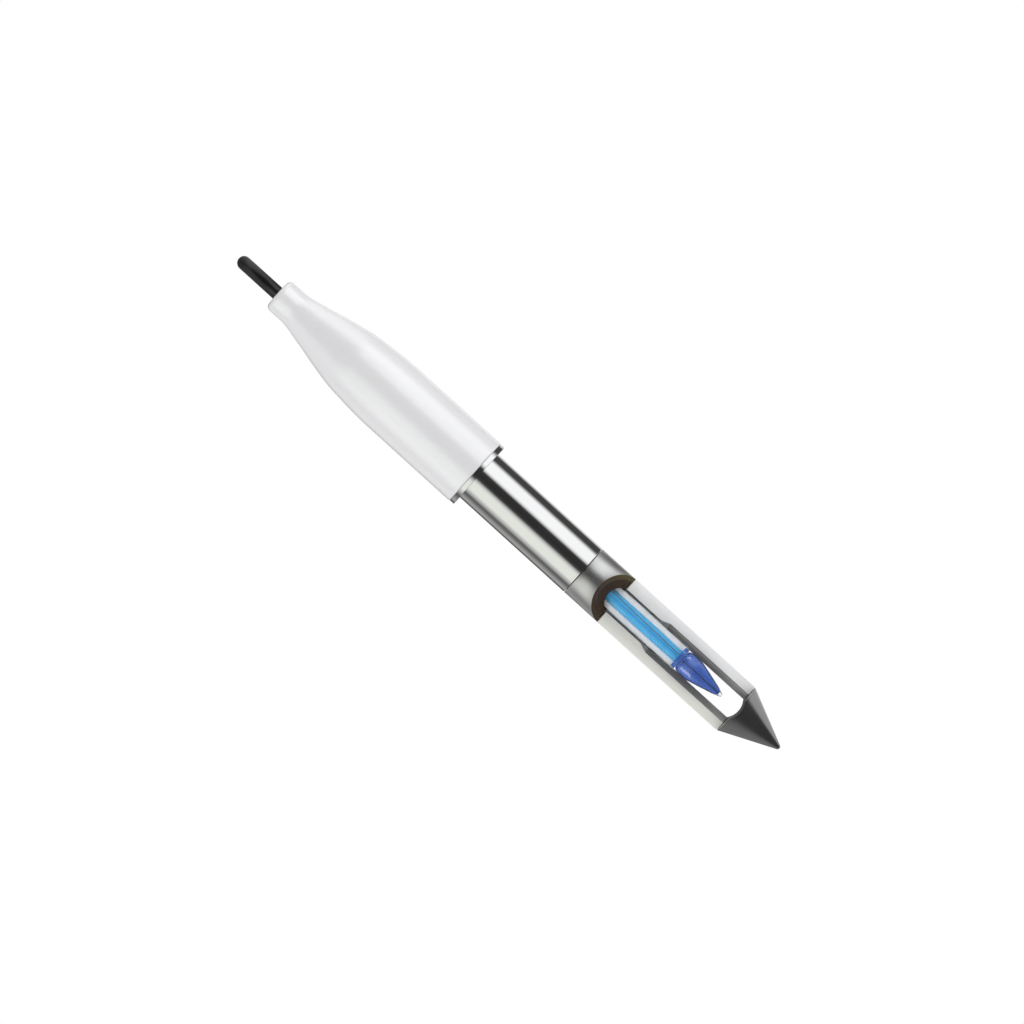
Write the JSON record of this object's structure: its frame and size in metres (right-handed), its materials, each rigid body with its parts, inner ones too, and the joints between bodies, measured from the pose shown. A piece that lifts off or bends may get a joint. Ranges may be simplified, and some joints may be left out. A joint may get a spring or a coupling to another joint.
{
  "type": "water quality probe",
  "caption": "Slim pH electrode with white flared handle, polished steel tube, cut-away guard over a blue-tipped glass sensor, conical piercing point and a coiled lead with a bayonet plug.",
  "frame": {"origin": "on the electrode's axis at the flat underside of the seat flange below the handle, which rests on an electrode holder's arm", "axes": "+Z along the electrode's axis, from the point towards the cable; -Y towards the open side of the guard"},
  "size_m": [0.016, 0.0677, 0.1529],
  "materials": {
    "white_plastic": "satin moulded",
    "black_rubber": "matte",
    "polished_steel": "polished stainless",
    "guard_steel": "fine ground stainless",
    "dark_steel": "dark burnished",
    "brown_seal": "dark brown elastomer",
    "clear_glass": "clear",
    "blue_gel": "translucent blue filling",
    "deep_blue_gel": "deep blue filling",
    "silver": "drawn wire",
    "ceramic": "porous",
    "brass": "turned",
    "copper": "drawn wire",
    "black_jacket": "extruded",
    "red_jacket": "extruded",
    "nickel_plate": "nickel plated, satin",
    "white_insulator": "turned",
    "gold_plate": "gold plated",
    "red_silicone": "matte"
  },
  "bodies": {
    "probe": {"handle_shell": "white_plastic", "handle_o_ring": "black_rubber", "neck_grommet": "black_rubber", "strain_ferrule": "brass", "tube_plug": "black_rubber", "body_tube": "polished_steel", "seat_flange": "polished_steel", "stem_bush": "black_rubber", "glass_stem": "clear_glass", "inner_stem": "clear_glass", "indicator_gel": "blue_gel", "reference_junction": "ceramic", "ph_tip": "clear_glass", "tip_gel": "deep_blue_gel", "silver_wire": "silver", "reference_wire": "silver", "inner_lead": "red_jacket", "reference_lead": "black_jacket", "core_sleeve": "red_jacket", "shield_sleeve": "black_jacket", "coax_core": "copper", "shield_pigtail": "silver", "cable": "black_jacket", "cable_tail": "black_jacket", "cable_hank": "black_jacket", "tie_front": "black_jacket", "tie_rear": "black_jacket", "connector_boot": "black_rubber", "crimp_ferrule": "nickel_plate", "connector_body": "nickel_plate", "dielectric": "white_insulator", "contact_pin": "gold_plate", "gasket": "red_silicone"},
    "seal_ring": {"guard_o_ring": "black_rubber"},
    "guard": {"guard_cage": "guard_steel", "piercing_point": "dark_steel", "stem_seal": "brown_seal"},
    "washer": {"spring_washer": "nickel_plate"},
    "nut": {"coupling_nut": "nickel_plate"}
  },
  "joints": [
    {"name": "guard_turn", "type": "hinge", "parent": "probe", "child": "seal_ring", "pos_m": [0, 0, -0.0313], "axis": [0, 0, -1], "range_deg": [0, 1800]},
    {"name": "guard_advance", "type": "slide", "parent": "seal_ring", "child": "guard", "axis": [0, 0, -1], "range_m": [0, 0.0038]},
    {"name": "nut_turn", "type": "hinge", "parent": "probe", "child": "washer", "pos_m": [0, 0.0524, 0.015], "axis": [0, 0, 1], "continuous": true},
    {"name": "nut_slide", "type": "slide", "parent": "washer", "child": "nut", "axis": [0, 0, 1], "range_m": [0, 0.0006], "stiffness_N_per_m": 400}
  ],
  "couplings": [
    {"joint": "guard_advance", "follows": "guard_turn", "m_per_rad": 0.00011937}
  ]
}
